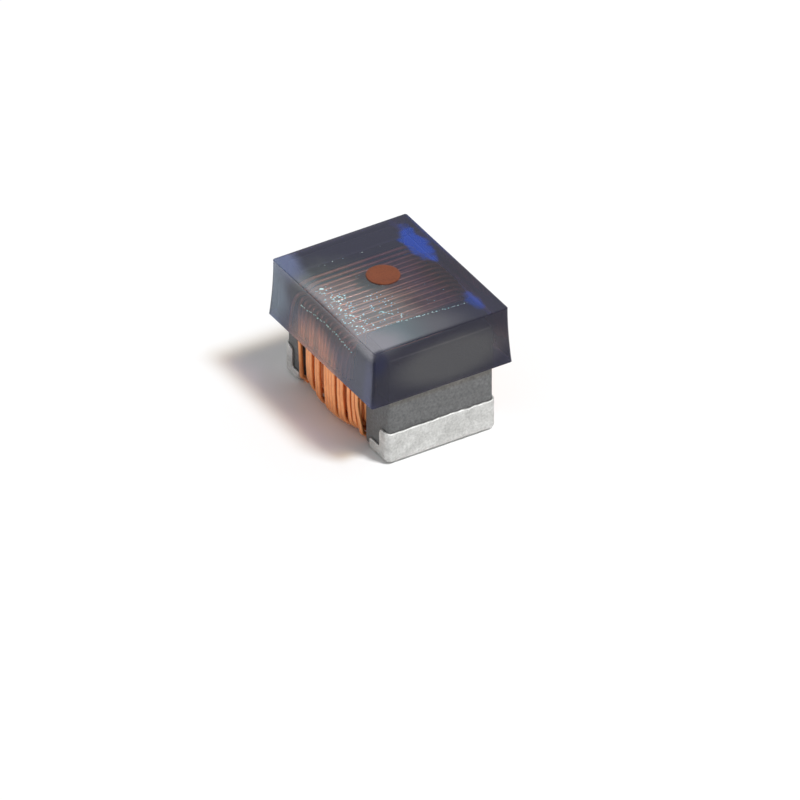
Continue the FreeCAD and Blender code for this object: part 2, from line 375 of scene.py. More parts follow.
def addBump(nodes, links, shader, height, distance):
    bump = nodes.new("ShaderNodeBump")
    bump.inputs["Distance"].default_value = distance * mm
    links.new(height, bump.inputs["Height"])
    links.new(bump.outputs["Normal"], shader.inputs["Normal"])


def heightStep(nodes, links, low, high, below=0.0, above=1.0):  # one value below, one above
    place = nodes.new("ShaderNodeTexCoord")
    split = nodes.new("ShaderNodeSeparateXYZ")
    links.new(place.outputs["Object"], split.inputs[0])
    step = nodes.new("ShaderNodeMapRange")
    step.inputs["From Min"].default_value = low * mm
    step.inputs["From Max"].default_value = high * mm
    step.inputs["To Min"].default_value = below
    step.inputs["To Max"].default_value = above
    links.new(split.outputs["Z"], step.inputs["Value"])
    return step.outputs[0]


def grainyMaterial(name, look):  # colours and bump follow the grain, the rest is plain
    material, nodes, links, shader = newMaterial(name)
    grain = grainNode(nodes, look["grain"])
    ramp = colourRamp(nodes, look["colours"])
    links.new(grain.outputs["Mix"], ramp.inputs[0])
    links.new(ramp.outputs["Color"], shader.inputs["Base Color"])
    for socketName, value in look["plain"].items():
        shader.inputs[socketName].default_value = value
    if look["bump"]:
        addBump(nodes, links, shader, grain.outputs["Mix"], look["bump"])
    return material


# Ferrite core

ferrite = {
    "edgeRounding": 0.03,
    "edgeSteps": 4,
    "cornerSteps": 6,
    "sharpAngle": 30,
    "grain": (34, 3.5, 0.3),  # speckle per mm, mottle per mm, share of mottle
    "dryColours": (  # each with its place on the ramp
        (0.34, (0.088, 0.089, 0.09)), (0.5, (0.128, 0.13, 0.131)), (0.68, (0.18, 0.181, 0.183)),
    ),
    "wetColour": (0.03, 0.032, 0.036),
    "wetEdge": 0.01,
    "dryRoughness": 0.62,
    "wetRoughness": 0.42,
    "bump": 0.004,
}


def ferriteMaterial():  # dull below the resin, dark and smoother where the resin wets it
    material, nodes, links, shader = newMaterial("pressedFerrite")
    grain = grainNode(nodes, ferrite["grain"])
    dry = colourRamp(nodes, ferrite["dryColours"])
    links.new(grain.outputs["Mix"], dry.inputs[0])
    low, high = capLow.z, capLow.z + ferrite["wetEdge"]
    colour = nodes.new("ShaderNodeMix")
    colour.data_type = "RGBA"
    colour.inputs["B"].default_value = (*ferrite["wetColour"], 1)
    links.new(heightStep(nodes, links, low, high), colour.inputs["Factor"])
    links.new(dry.outputs["Color"], colour.inputs["A"])
    links.new(colour.outputs["Result"], shader.inputs["Base Color"])
    rough = heightStep(nodes, links, low, high, ferrite["dryRoughness"], ferrite["wetRoughness"])
    links.new(rough, shader.inputs["Roughness"])
    addBump(nodes, links, shader, grain.outputs["Mix"], ferrite["bump"])
    return material


def coreRing(x, halfWidth, low, high, rounding):
    outline = roundedRectangle(halfWidth, (high - low) / 2, rounding, ferrite["cornerSteps"])
    middle = (high + low) / 2
    return [Vector((x, p.x, middle + p.y)) for p in outline]


def makeFerriteCore():
    rounding, steps = ferrite["edgeRounding"], ferrite["edgeSteps"]

    def flangeRings(start, end):  # from one face of a flange to the other
        rings = []
        for place, sign in ((start, 1), (end, -1)):
            order = range(steps + 1) if sign > 0 else reversed(range(steps + 1))
            for step in order:
                angle = math.radians(90) * step / steps
                inset = rounding * (1 - math.sin(angle))
                x = place + sign * rounding * (1 - math.cos(angle))
                low, high = coreLow.z + inset, coreHigh.z - inset
                rings.append(coreRing(x, coreHigh.y - inset, low, high, rounding))
        return rings

    barRings = [
        coreRing(x, coil["barWidth"] / 2, coil["barLow"], coil["barHigh"], coil["barRounding"])
        for x in (coil["windowRear"], coil["windowFront"])
    ]
    rings = flangeRings(coreLow.x, coil["windowRear"]) + barRings
    rings += flangeRings(coil["windowFront"], coreHigh.x)
    piece = addObject("ferriteCore", meshFromRings("ferriteCore", rings))
    settle(piece, ferriteMaterial(), ["core"], ferrite["sharpAngle"])


makeFerriteCore()
print("ferrite core pressed")


# Plated feet

plating = {
    "weld": 0.0001,
    "voxel": 0.009,
    "smoothing": 3,
    "lump": 0.0035,
    "lumpsPerMm": 14,
    "lumpBias": 0.5,
    "rimStart": 0.345,
    "rimBead": 0.014,
    "rimBeadsPerMm": 13,
    "rimBeadBias": 0.6,
    "rimBeadSeed": (7, 3, 1),
    "sharpAngle": 60,
    "grain": (38, 9, 0.45),
    "colours": ((0.3, (0.40, 0.40, 0.39)), (0.5, (0.58, 0.58, 0.565)), (0.7, (0.76, 0.76, 0.745))),
    "plain": {"Metallic": 0.55, "Roughness": 0.5},
    "bump": 0.006,
}


def makePlatedFoot(name, node, material, low, high):
    mesh = bpy.data.objects[node].data.copy()
    mesh.transform(Matrix.Scale(1 / mm, 4))
    work = bmesh.new()
    work.from_mesh(mesh)
    bmesh.ops.remove_doubles(work, verts=work.verts, dist=plating["weld"])
    work.to_mesh(mesh)
    work.free()
    piece = addObject(name, mesh)
    remesh = piece.modifiers.new("evenSkin", "REMESH")
    remesh.mode = "VOXEL"
    remesh.voxel_size = plating["voxel"]
    smooth = piece.modifiers.new("softEdges", "SMOOTH")
    smooth.iterations = plating["smoothing"]
    bakedModifiers(piece)
    normals = [vertex.normal.copy() for vertex in piece.data.vertices]
    for vertex, normal in zip(piece.data.vertices, normals):
        lump = noise.noise(vertex.co * plating["lumpsPerMm"])
        vertex.co += normal * (plating["lump"] * (lump - plating["lumpBias"]))
        rim = max(0.0, (vertex.co.z - plating["rimStart"]) / (high.z - plating["rimStart"]))
        bead = noise.noise(vertex.co * plating["rimBeadsPerMm"] + Vector(plating["rimBeadSeed"]))
        vertex.co.z += plating["rimBead"] * min(1.0, rim) * (bead - plating["rimBeadBias"])
        vertex.co.z = max(vertex.co.z, 0.0)
        vertex.co.x = min(max(vertex.co.x, low.x), high.x)
    settle(piece, material, [node], plating["sharpAngle"])


plated = grainyMaterial("mattePlating", plating)
makePlatedFoot("frontPlatedFoot", "front_terminal", plated, frontLow, frontHigh)
makePlatedFoot("rearPlatedFoot", "rear_terminal", plated, rearLow, rearHigh)
print("feet plated")


# Coil

enamel = {
    "sharpAngle": 50,
    "grain": (22, 3, 0.6),
    "colours": ((0.35, (0.80, 0.285, 0.092)), (0.6, (0.98, 0.41, 0.15))),
    "plain": {"Metallic": 0.45, "Roughness": 0.36, "Coat Weight": 0.6, "Coat Roughness": 0.12},
    "bump": None,
}


def dressedOutput(tree, given, geometry, name):  # every tree ends in real, dressed geometry
    nodes, links = tree.nodes, tree.links
    outputSocket(tree, name, "NodeSocketGeometry")
    realize = nodes.new("GeometryNodeRealizeInstances")
    dress = nodes.new("GeometryNodeSetMaterial")
    result = nodes.new("NodeGroupOutput")
    links.new(geometry, realize.inputs["Geometry"])
    links.new(realize.outputs["Geometry"], dress.inputs["Geometry"])
    links.new(given.outputs["Material"], dress.inputs["Material"])
    links.new(dress.outputs["Geometry"], result.inputs[name])


def sweptAlong(tree, given, curve):  # a round wire of the given diameter along a curve
    nodes, links = tree.nodes, tree.links
    half = mathNode(nodes, "MULTIPLY")
    half.inputs[1].default_value = 0.5
    profile = nodes.new("GeometryNodeCurvePrimitiveCircle")
    sweep = nodes.new("GeometryNodeCurveToMesh")
    sweep.inputs["Fill Caps"].default_value = True
    links.new(given.outputs["Wire Diameter"], half.inputs[0])
    links.new(half.outputs[0], profile.inputs["Radius"])
    links.new(given.outputs["Sides"], profile.inputs["Resolution"])
    links.new(curve, sweep.inputs["Curve"])
    links.new(profile.outputs["Curve"], sweep.inputs["Profile Curve"])
    return sweep.outputs["Mesh"]


def sweptWireTree():  # sweeps a round wire along the edges it is given
    tree = bpy.data.node_groups.new("sweptWire", "GeometryNodeTree")
    inputSocket(tree, "Path", None, "NodeSocketGeometry")
    inputSocket(tree, "Wire Diameter", coil["wire"])
    inputSocket(tree, "Sides", coil["sides"], "NodeSocketInt")
    inputSocket(tree, "Material", None, "NodeSocketMaterial")
    nodes, links = tree.nodes, tree.links
    given = nodes.new("NodeGroupInput")
    asCurve = nodes.new("GeometryNodeMeshToCurve")
    links.new(given.outputs["Path"], asCurve.inputs["Mesh"])
    wire = sweptAlong(tree, given, asCurve.outputs["Curve"])
    dressedOutput(tree, given, wire, "Wire")
    return tree


def hiddenTurnsTree():  # a row of closed turns, one row for each hidden layer
    tree = bpy.data.node_groups.new("hiddenTurns", "GeometryNodeTree")
    inputSocket(tree, "Geometry", None, "NodeSocketGeometry")
    inputSocket(tree, "Wire Diameter", coil["wire"])
    inputSocket(tree, "Sides", coil["sides"], "NodeSocketInt")
    inputSocket(tree, "Turns", 10, "NodeSocketInt")
    inputSocket(tree, "Pitch", coil["wire"])
    inputSocket(tree, "Width", 1.0)
    inputSocket(tree, "Height", 1.0)
    inputSocket(tree, "Rounding", 0.1)
    inputSocket(tree, "Start", (0, 0, 0), "NodeSocketVector")
    inputSocket(tree, "Material", None, "NodeSocketMaterial")
    nodes, links = tree.nodes, tree.links
    given = nodes.new("NodeGroupInput")
    outline = nodes.new("GeometryNodeCurvePrimitiveQuadrilateral")
    rounded = nodes.new("GeometryNodeFilletCurve")
    rounded.mode = "POLY"
    rounded.inputs["Count"].default_value = coil["bendSteps"]
    upright = nodes.new("GeometryNodeTransform")
    upright.inputs["Rotation"].default_value = (math.radians(90), 0, math.radians(90))
    step = nodes.new("ShaderNodeCombineXYZ")
    row = nodes.new("GeometryNodeMeshLine")
    place = nodes.new("GeometryNodeInstanceOnPoints")
    links.new(given.outputs["Width"], outline.inputs["Width"])
    links.new(given.outputs["Height"], outline.inputs["Height"])
    links.new(outline.outputs["Curve"], rounded.inputs["Curve"])
    links.new(given.outputs["Rounding"], rounded.inputs["Radius"])
    turn = sweptAlong(tree, given, rounded.outputs["Curve"])
    links.new(turn, upright.inputs["Geometry"])
    links.new(given.outputs["Pitch"], step.inputs["X"])
    links.new(given.outputs["Turns"], row.inputs["Count"])
    links.new(given.outputs["Start"], row.inputs["Start Location"])
    links.new(step.outputs[0], row.inputs["Offset"])
    links.new(row.outputs["Mesh"], place.inputs["Points"])
    links.new(upright.outputs["Geometry"], place.inputs["Instance"])
    dressedOutput(tree, given, place.outputs["Instances"], "Turns")
    return tree


def giveTree(piece, tree, values):  # sets each input by its socket's identifier
    modifier = piece.modifiers.new(tree.name, "NODES")
    modifier.node_group = tree
    for item in tree.interface.items_tree:
        if item.item_type == "SOCKET" and item.in_out == "INPUT" and item.name in values:
            modifier[item.identifier] = values[item.name]


def fromRear(space):  # the middle of a wire that far from the thin flange
    return coil["windowRear"] + space + coil["radius"]


def fromFront(space):  # the same from the thick flange
    return coil["windowFront"] - space - coil["radius"]


def sidePlaces():
    pitch = coil["wire"] + coil["turnGap"]
    x = fromRear(coil["sideRearSpace"])
    places = []
    for turns, groove in zip(coil["bankTurns"], coil["bankGrooves"]):
        for _ in range(turns):
            places.append(x)
            x += pitch
        x += groove
    return places


def topPlaces(count):  # over the top the runs are spread evenly
    first, last = fromRear(coil["topRearSpace"]), fromFront(coil["topFrontSpace"])
    return [first + (last - first) * i / (count - 1) for i in range(count)]


def underPlaces(side):  # underneath they keep to the banks they have on the side
    first, last = fromRear(coil["underRearSpace"]), fromFront(coil["underFrontSpace"])
    stretch = (last - first) / (side[-1] - side[0])
    return [first + (x - side[0]) * stretch for x in side]


def stray(index):  # how far one run of wire sits off its even place
    return coil["stray"] * noise.noise(Vector((index * coil["strayPace"], *coil["straySeed"])))


def swellAt(x, places):
    across = (2 * x - places[0] - places[-1]) / (places[-1] - places[0])
    return coil["swell"] * max(0.0, 1 - across * across)


def outerLayerPath():
    side = sidePlaces()
    turns = len(side)
    top = [x + stray(i) for i, x in enumerate(topPlaces(turns + 1))]
    under = underPlaces(side)
    shoulder = coil["high"] - coil["shoulderDrop"]
    ankle = coil["low"] + coil["ankleRise"]
    corner, soft = coil["corner"], coil["softBend"]
    buried = coil["barHigh"] + coil["barClearance"] + coil["radius"]
    points = [Vector((top[turns], coil["climb"], buried)), Vector((top[turns], 0, coil["high"]))]
    roundings = [0, soft]
    for turn in reversed(range(turns)):
        swell = swellAt(side[turn], side)
        wide, high, low = coil["halfWidth"] + swell, coil["high"] + swell, coil["low"] - swell
        if turn < turns - 1:
            points.append(Vector((top[turn + 1], wide, high)))
            roundings.append(corner)
        points.append(Vector((top[turn + 1], -wide, high)))
        points.append(Vector((side[turn], -wide, shoulder)))
        points.append(Vector((side[turn], -wide, ankle)))
        points.append(Vector((under[turn], -wide, low)))
        points.append(Vector((under[turn], wide, low)))
        roundings += [corner, soft, soft, corner, corner]
    leadX = fromRear(coil["rearLeadClearance"])
    points.append(Vector((top[0], coil["halfWidth"], coil["high"])))
    points.append(Vector((top[0], -coil["halfWidth"], coil["high"])))
    points.append(Vector((leadX, -coil["halfWidth"], shoulder)))
    points.append(Vector((leadX, coil["leadLean"] - coil["halfWidth"], coil["leadFoot"])))
    points.append(Vector((leadX, coil["tailPlace"], coil["leadHeight"])))
    roundings += [corner, corner, soft, coil["leadBend"], 0]
    return softPath(points, roundings, coil["bendSteps"])


def frontLeadPath():
    uprightX = sidePlaces()[-1] + coil["wire"] + coil["leadGap"]
    leadX = fromFront(coil["frontLeadClearance"])
    deepY = -coil["halfWidth"] + coil["wire"] + coil["layerClearance"]
    points = [
        Vector((leadX, coil["tailPlace"], coil["leadHeight"])),
        Vector((leadX, coil["leadLean"] - coil["halfWidth"], coil["leadFoot"])),
        Vector((uprightX, -coil["halfWidth"], coil["leadKnee"])),
        Vector((uprightX, -coil["halfWidth"], coil["leadDive"])),
        Vector((uprightX, deepY, coil["leadDive"] + coil["diveRise"])),
    ]
    roundings = [0, coil["leadBend"], coil["softBend"], coil["diveBend"], 0]
    return softPath(points, roundings, coil["bendSteps"])


def makeTail(name, lowX, highX):  # a lead's end, pressed flat on its foot
    size = Vector((highX - lowX, coil["tailWidth"], coil["tailThickness"]))
    middle = Vector(((lowX + highX) / 2, coil["tailPlace"], coil["tailClearance"] + size.z / 2))
    work = bmesh.new()
    bmesh.ops.create_cube(work, size=1)
    for vertex in work.verts:
        vertex.co = vertex.co * size + middle
    bmesh.ops.bevel(work, geom=work.edges[:], offset=coil["tailRounding"],
                    segments=coil["tailBevelSteps"], profile=0.5, affect="EDGES")
    mesh = bpy.data.meshes.new(name)
    work.to_mesh(mesh)
    work.free()
    return addObject(name, mesh)


def joined(name, pieces):
    work = bmesh.new()
    for piece in pieces:
        work.from_mesh(piece.data)
        bpy.data.objects.remove(piece)
    mesh = bpy.data.meshes.new(name)
    work.to_mesh(mesh)
    work.free()
    return addObject(name, mesh)


def makeCoil():
    copper = grainyMaterial("enamelledCopper", enamel)
    paths = wireframeFromPaths("outerLayer", [outerLayerPath(), frontLeadPath()])
    outer = addObject("outerLayer", paths)
    common = {"Wire Diameter": coil["wire"], "Sides": coil["sides"], "Material": copper}
    giveTree(outer, sweptWireTree(), common)
    bakedModifiers(outer)
    parts = [outer]
    hiddenTree = hiddenTurnsTree()
    rear, front = fromRear(coil["sideRearSpace"]), fromFront(coil["topFrontSpace"])
    middleZ = (coil["barLow"] + coil["barHigh"]) / 2
    for layer in range(coil["hiddenLayers"]):
        out = coil["barClearance"] + (layer + 0.5) * coil["wire"]
        row = addObject("hiddenLayer" + str(layer + 1), bpy.data.meshes.new("hiddenLayer"))
        giveTree(row, hiddenTree, {
            **common,
            "Turns": int((front - rear) / coil["wire"]) + 1 - layer,
            "Pitch": coil["wire"],
            "Width": coil["barWidth"] + 2 * out,
            "Height": coil["barHigh"] - coil["barLow"] + 2 * out,
            "Rounding": coil["barRounding"] + out,
            "Start": (rear + layer * coil["radius"], 0, middleZ),
        })
        bakedModifiers(row)
        parts.append(row)
    rearInner = coil["windowRear"] + coil["rearLeadClearance"] + coil["wire"]
    frontInner = coil["windowFront"] - coil["frontLeadClearance"] - coil["wire"]
    rearOuter = rearLow.x + coil["rearFootLength"] - coil["tailGrip"]
    parts.append(makeTail("rearTail", rearOuter, rearInner))
    parts.append(makeTail("frontTail", frontInner, frontLow.x + coil["tailGrip"]))
    piece = joined("copperCoil", parts)
    outward(piece.data)
    settle(piece, copper, ["winding"], enamel["sharpAngle"])
    print("coil wound,", len(piece.data.polygons), "faces")


makeCoil()


# Resin cap

resin = {
    "endWall": 0.0175,
    "sideWall": 0.068,
    "endFlare": 0.02,
    "sideFlare": 0.038,
    "flareCurve": 1.8,
    "cornerRounding": 0.03,
    "rimRounding": 0.013,
    "rimSteps": 5,
    "rimLand": 2,
    "footRounding": 0.005,
    "footLand": 3,
    "footEdge": (0.5, 1.5),
    "cornerSteps": 8,
    "sideSteps": 24,
    "levels": 20,
    "wave": 0.004,
    "wavesPerMm": 1.3,
    "sharpAngle": 40,
    "refraction": 1.5,
    "tint": (0.28, 0.20, 0.57),
    "density": 3.0,
    "throughLight": (0.8, 0.7, 0.5),  # what it lets past to light the coil
    "transmission": 0.75,
    "reflection": (0.3, 0.3, 0.3),
    "roughness": 0.04,
    "footRoughness": 0.5,
    "ripple": 0.0006,
    "ripplesPerMm": 3.0,
    "rippleDetail": 2,
    "depthColour": (0.06, 0.065, 0.145),
    # How clear and tinted the resin is, with painted light laid over it: painted reflections,
    # painted shade and painted blue light
    "tintAndPaintedLight": (  # centre, reach, softness, raggedness, colour; later ones lie over earlier ones
        # top: a pale veil that is a painted reflection, lighter towards -Y and the front, clearer
        # over the wire so the coil shows
        ((0.30, -0.95, 1.48), (1.10, 1.03, 0.12), 0.28, 0.3, (0.20, 0.235, 0.25)),
        ((0.90, -0.34, 1.48), (0.32, 0.58, 0.12), 0.50, 0.1, (0.34, 0.35, 0.41)),
        ((0.55, -0.95, 1.48), (0.95, 0.78, 0.12), 0.35, 0.2, (0.44, 0.60, 0.66)),
        ((0.30, -0.92, 1.48), (1.05, 0.30, 0.12), 0.40, 0.1, (0.80, 0.84, 0.90)),
        ((0.92, -0.85, 1.48), (0.32, 0.42, 0.12), 0.50, 0.2, (0.90, 0.90, 1.00)),
        # top, rear -Y corner: a painted blue glow of light through the resin
        ((-0.95, -0.85, 1.48), (0.36, 0.24, 0.15), 0.40, 0.5, (0.42, 0.52, 0.92)),
        # -Y side: painted reflection, a painted shade band near the top, clearer and warmer low
        # over the wire (partly a painted copper glow), painted blue glow at both ends
        ((0.00, -0.87, 1.00), (1.50, 0.06, 0.60), 0.30, 0.0, (0.24, 0.27, 0.42)),
        ((-0.05, -0.87, 1.33), (0.72, 0.08, 0.23), 0.45, 0.2, (0.06, 0.08, 0.13)),
        ((-0.13, -0.87, 0.67), (0.49, 0.08, 0.50), 0.30, 0.2, (1.00, 0.65, 0.54)),
        ((-0.98, -0.87, 1.15), (0.24, 0.10, 0.35), 0.50, 0.6, (0.60, 0.78, 1.00)),
        ((0.98, -0.87, 1.00), (0.12, 0.10, 0.32), 0.50, 0.4, (0.29, 0.33, 0.62)),
        # ends: painted shade round the +X end, a painted light patch in its middle where the
        # flange shows through, painted blue at its -Y corner; the -X end dark
        ((1.07, 0.00, 1.10), (0.08, 1.30, 0.62), 0.30, 0.0, (0.09, 0.09, 0.14)),
        ((1.07, 0.12, 1.10), (0.10, 0.66, 0.26), 0.35, 0.1, (0.26, 0.26, 0.28)),
        ((1.07, -0.77, 1.32), (0.08, 0.10, 0.16), 0.60, 0.8, (0.06, 0.07, 0.18)),
        ((-1.07, 0.00, 1.10), (0.08, 1.30, 0.62), 0.30, 0.0, (0.12, 0.13, 0.19)),
        # +Y side: dark, clearer and warmer low over the wire, partly a painted copper glow
        ((0.00, 0.89, 0.98), (1.50, 0.06, 0.46), 0.30, 0.0, (0.17, 0.19, 0.30)),
        ((0.00, 0.89, 0.68), (0.60, 0.08, 0.46), 0.35, 0.2, (0.80, 0.50, 0.40)),
        # top near +Y: painted shade in the middle, painted blue light along the edge and in two
        # patches, for light coming in through the +Y wall
        ((0.12, 0.56, 1.48), (0.48, 0.20, 0.12), 0.60, 0.4, (0.035, 0.035, 0.07)),
        ((-0.55, 0.84, 1.48), (0.50, 0.05, 0.15), 0.50, 0.6, (0.07, 0.11, 0.45)),
        ((-0.50, 0.62, 1.48), (0.34, 0.12, 0.20), 0.25, 1.6, (0.02, 0.15, 1.00)),
        ((0.72, 0.58, 1.48), (0.15, 0.07, 0.20), 0.35, 1.4, (0.03, 0.12, 0.68)),
    ),
}


def resinMaterial():
    material, nodes, links, shader = newMaterial("clearBlueResin")
    # base colour: the resin's clearness and tint, with painted reflections, painted shade and
    # painted blue light laid in
    resinTintWithPaintedLight = zonedColour(nodes, links, resin["depthColour"], resin["tintAndPaintedLight"])
    links.new(resinTintWithPaintedLight, shader.inputs["Base Color"])
    shader.inputs["IOR"].default_value = resin["refraction"]
    shader.inputs["Specular Tint"].default_value = (*resin["reflection"], 1)
    shader.inputs["Transmission Weight"].default_value = resin["transmission"]
    low, high = (capLow.z + share * resin["footRounding"] for share in resin["footEdge"])
    rough = heightStep(nodes, links, low, high, resin["footRoughness"], resin["roughness"])
    links.new(rough, shader.inputs["Roughness"])  # the underside is matt, the rest is glossy
    place = nodes.new("ShaderNodeTexCoord")
    ripple = nodes.new("ShaderNodeTexNoise")
    ripple.inputs["Scale"].default_value = resin["ripplesPerMm"] / mm
    ripple.inputs["Detail"].default_value = resin["rippleDetail"]
    links.new(place.outputs["Object"], ripple.inputs["Vector"])
    addBump(nodes, links, shader, ripple.outputs[0], resin["ripple"])
    lightPath = nodes.new("ShaderNodeLightPath")
    letThrough = nodes.new("ShaderNodeBsdfTransparent")
    letThrough.inputs["Color"].default_value = (*resin["throughLight"], 1)
    choice = nodes.new("ShaderNodeMixShader")
    links.new(lightPath.outputs["Is Shadow Ray"], choice.inputs[0])
    links.new(shader.outputs[0], choice.inputs[1])
    links.new(letThrough.outputs[0], choice.inputs[2])
    output = nodes["Material Output"]
    links.new(choice.outputs[0], output.inputs["Surface"])
    absorb = nodes.new("ShaderNodeVolumeAbsorption")
    absorb.inputs["Color"].default_value = (*resin["tint"], 1)
    absorb.inputs["Density"].default_value = resin["density"] / mm
    links.new(absorb.outputs[0], output.inputs["Volume"])
    return material


def capRing(z, flare, inset):
    halfX = coreHigh.x + resin["endWall"] + resin["endFlare"] * flare - inset
    halfY = windingHigh.y + resin["sideWall"] + resin["sideFlare"] * flare - inset
    outline = roundedRectangle(halfX, halfY, resin["cornerRounding"] - inset,
                               resin["cornerSteps"], resin["sideSteps"])
    return [Vector((p.x, p.y, z)) for p in outline]


def makeResinCap():
    top, foot = capHigh.z, capLow.z
    rim, lip = resin["rimRounding"], resin["footRounding"]
    rings = [capRing(foot, 1, lip * resin["footLand"]), capRing(foot, 1, lip)]
    for step in range(resin["levels"] + 1):
        share = step / resin["levels"]
        z = foot + lip + (top - rim - foot - lip) * share
        rings.append(capRing(z, (1 - share) ** resin["flareCurve"], 0))
    for step in range(1, resin["rimSteps"] + 1):
        angle = math.radians(90) * step / resin["rimSteps"]
        rings.append(capRing(top - rim * (1 - math.sin(angle)), 0, rim * (1 - math.cos(angle))))
    rings.append(capRing(top, 0, rim * resin["rimLand"]))
    mesh = meshFromRings("resinCap", rings)
    for vertex in mesh.vertices:
        if foot + lip < vertex.co.z < top - rim:
            wave = noise.noise(vertex.co * resin["wavesPerMm"]) * resin["wave"]
            side = Vector((vertex.co.x, vertex.co.y, 0)).normalized()
            vertex.co += side * (wave - resin["wave"] / 2)
    piece = addObject("resinCap", mesh)
    settle(piece, resinMaterial(), ["resin_cap"], resin["sharpAngle"])


makeResinCap()
print("resin cap moulded")


# Glints: pale beads set in the resin's surface over the wire, painted highlights for light
# glinting off the wire

glints = {
    "rows": (  # count, start, end, spread about the line, smallest and largest radius
        (110, (-0.10, -0.66, 1.476), (0.62, -0.66, 1.476), (0.03, 0.13, 0.002), 0.004, 0.011),
        (34, (-0.30, -0.68, 1.476), (0.05, -0.58, 1.476), (0.03, 0.10, 0.002), 0.004, 0.009),
        (70, (0.05, -0.36, 1.476), (0.62, -0.30, 1.476), (0.05, 0.16, 0.002), 0.004, 0.009),
        (24, (-0.30, -0.10, 1.476), (0.55, 0.20, 1.476), (0.05, 0.30, 0.002), 0.003, 0.006),
        (50, (0.622, -0.76, 1.476), (0.725, 0.50, 1.476), (0.006, 0.014, 0.003), 0.003, 0.010),
        (7, (-0.66, -0.50, 1.476), (-0.65, 0.20, 1.476), (0.01, 0.08, 0.003), 0.003, 0.006),
        (13, (-0.44, -0.831, 1.245), (0.08, -0.831, 1.300), (0.012, 0.002, 0.014), 0.006, 0.011),
        (13, (0.12, -0.831, 1.300), (0.58, -0.831, 1.250), (0.012, 0.002, 0.014), 0.006, 0.011),
        (5, (-0.290, -0.682, 1.474), (-0.276, -0.670, 1.474), (0.006, 0.006, 0.002), 0.010, 0.016),
        (6, (0.400, -0.345, 1.474), (0.445, -0.320, 1.474), (0.006, 0.012, 0.002), 0.008, 0.013),
    ),
    "shape": (1.0, 1.4, 0.8),
    "sharpAngle": 40,
    "grain": (30, 8, 0.4),
    # pale cyan: the colour of the painted glints
    "colours": ((0.36, (0.26, 0.54, 0.60)), (0.58, (0.78, 0.98, 0.95))),
    "plain": {"Roughness": 0.25},
    "bump": None,
}


def glintRowTree():  # small beads along a line, scattered about it
    tree = bpy.data.node_groups.new("glintRow", "GeometryNodeTree")
    inputSocket(tree, "Geometry", None, "NodeSocketGeometry")
    inputSocket(tree, "Count", 20, "NodeSocketInt")
    inputSocket(tree, "Start", (0, 0, 0), "NodeSocketVector")
    inputSocket(tree, "End", (1, 0, 0), "NodeSocketVector")
    inputSocket(tree, "Spread", (0, 0, 0), "NodeSocketVector")
    inputSocket(tree, "Smallest", 0.003)
    inputSocket(tree, "Largest", 0.008)
    inputSocket(tree, "Shape", glints["shape"], "NodeSocketVector")
    inputSocket(tree, "Seed", 1, "NodeSocketInt")
    inputSocket(tree, "Material", None, "NodeSocketMaterial")
    nodes, links = tree.nodes, tree.links
    given = nodes.new("NodeGroupInput")
    row = nodes.new("GeometryNodeMeshLine")
    row.mode = "END_POINTS"
    back = mathNode(nodes, "SCALE", "ShaderNodeVectorMath")
    back.inputs["Scale"].default_value = -1
    scatter = nodes.new("FunctionNodeRandomValue")
    scatter.data_type = "FLOAT_VECTOR"
    move = nodes.new("GeometryNodeSetPosition")
    size = nodes.new("FunctionNodeRandomValue")
    size.data_type = "FLOAT"
    shaped = mathNode(nodes, "SCALE", "ShaderNodeVectorMath")
    bead = nodes.new("GeometryNodeMeshIcoSphere")
    bead.inputs["Radius"].default_value = 1
    bead.inputs["Subdivisions"].default_value = 1
    place = nodes.new("GeometryNodeInstanceOnPoints")
    links.new(given.outputs["Count"], row.inputs["Count"])
    links.new(given.outputs["Start"], row.inputs["Start Location"])
    links.new(given.outputs["End"], row.inputs["Offset"])
    links.new(given.outputs["Spread"], back.inputs[0])
    links.new(back.outputs[0], scatter.inputs[0])
    links.new(given.outputs["Spread"], scatter.inputs[1])
    links.new(given.outputs["Seed"], scatter.inputs["Seed"])
    links.new(row.outputs["Mesh"], move.inputs["Geometry"])
    links.new(scatter.outputs[0], move.inputs["Offset"])
    links.new(given.outputs["Smallest"], size.inputs[2])
    links.new(given.outputs["Largest"], size.inputs[3])
    links.new(given.outputs["Seed"], size.inputs["Seed"])
    links.new(given.outputs["Shape"], shaped.inputs[0])
    links.new(size.outputs[1], shaped.inputs["Scale"])
    links.new(move.outputs["Geometry"], place.inputs["Points"])
    links.new(bead.outputs["Mesh"], place.inputs["Instance"])
    links.new(shaped.outputs[0], place.inputs["Scale"])
    dressedOutput(tree, given, place.outputs["Instances"], "Glints")
    return tree


def makeGlints():
    pale = grainyMaterial("paleBubbles", glints)
    tree = glintRowTree()
    names = ("Count", "Start", "End", "Spread", "Smallest", "Largest")
    parts = []
    for seed, row in enumerate(glints["rows"]):
        part = addObject("glintRow" + str(seed), bpy.data.meshes.new("glintRow"))
        giveTree(part, tree, {**dict(zip(names, row)), "Shape": glints["shape"], "Seed": seed,
                              "Material": pale})
        bakedModifiers(part)
        parts.append(part)
    piece = joined("resinGlints", parts)
    settle(piece, pale, [], glints["sharpAngle"])
    print("glints set,", len(piece.data.polygons), "faces")


makeGlints()


# Painted dot

paint = {
    "steps": 72,
    "profile": (  # shares of the radius and of the height
        (1.0, 0.0), (1.0, 0.55), (0.985, 0.85), (0.95, 1.0), (0.8, 1.0), (0.4, 1.0),
    ),
    "unevenRim": 0.012,
    "rimWaves": 2.3,
    "sharpAngle": 30,
    "grain": (45, 8, 0.4),
    "colours": ((0.35, (0.145, 0.038, 0.015)), (0.6, (0.20, 0.054, 0.021))),
    "plain": {"Roughness": 0.55, "Specular IOR Level": 0.25},
    "bump": 0.002,
}


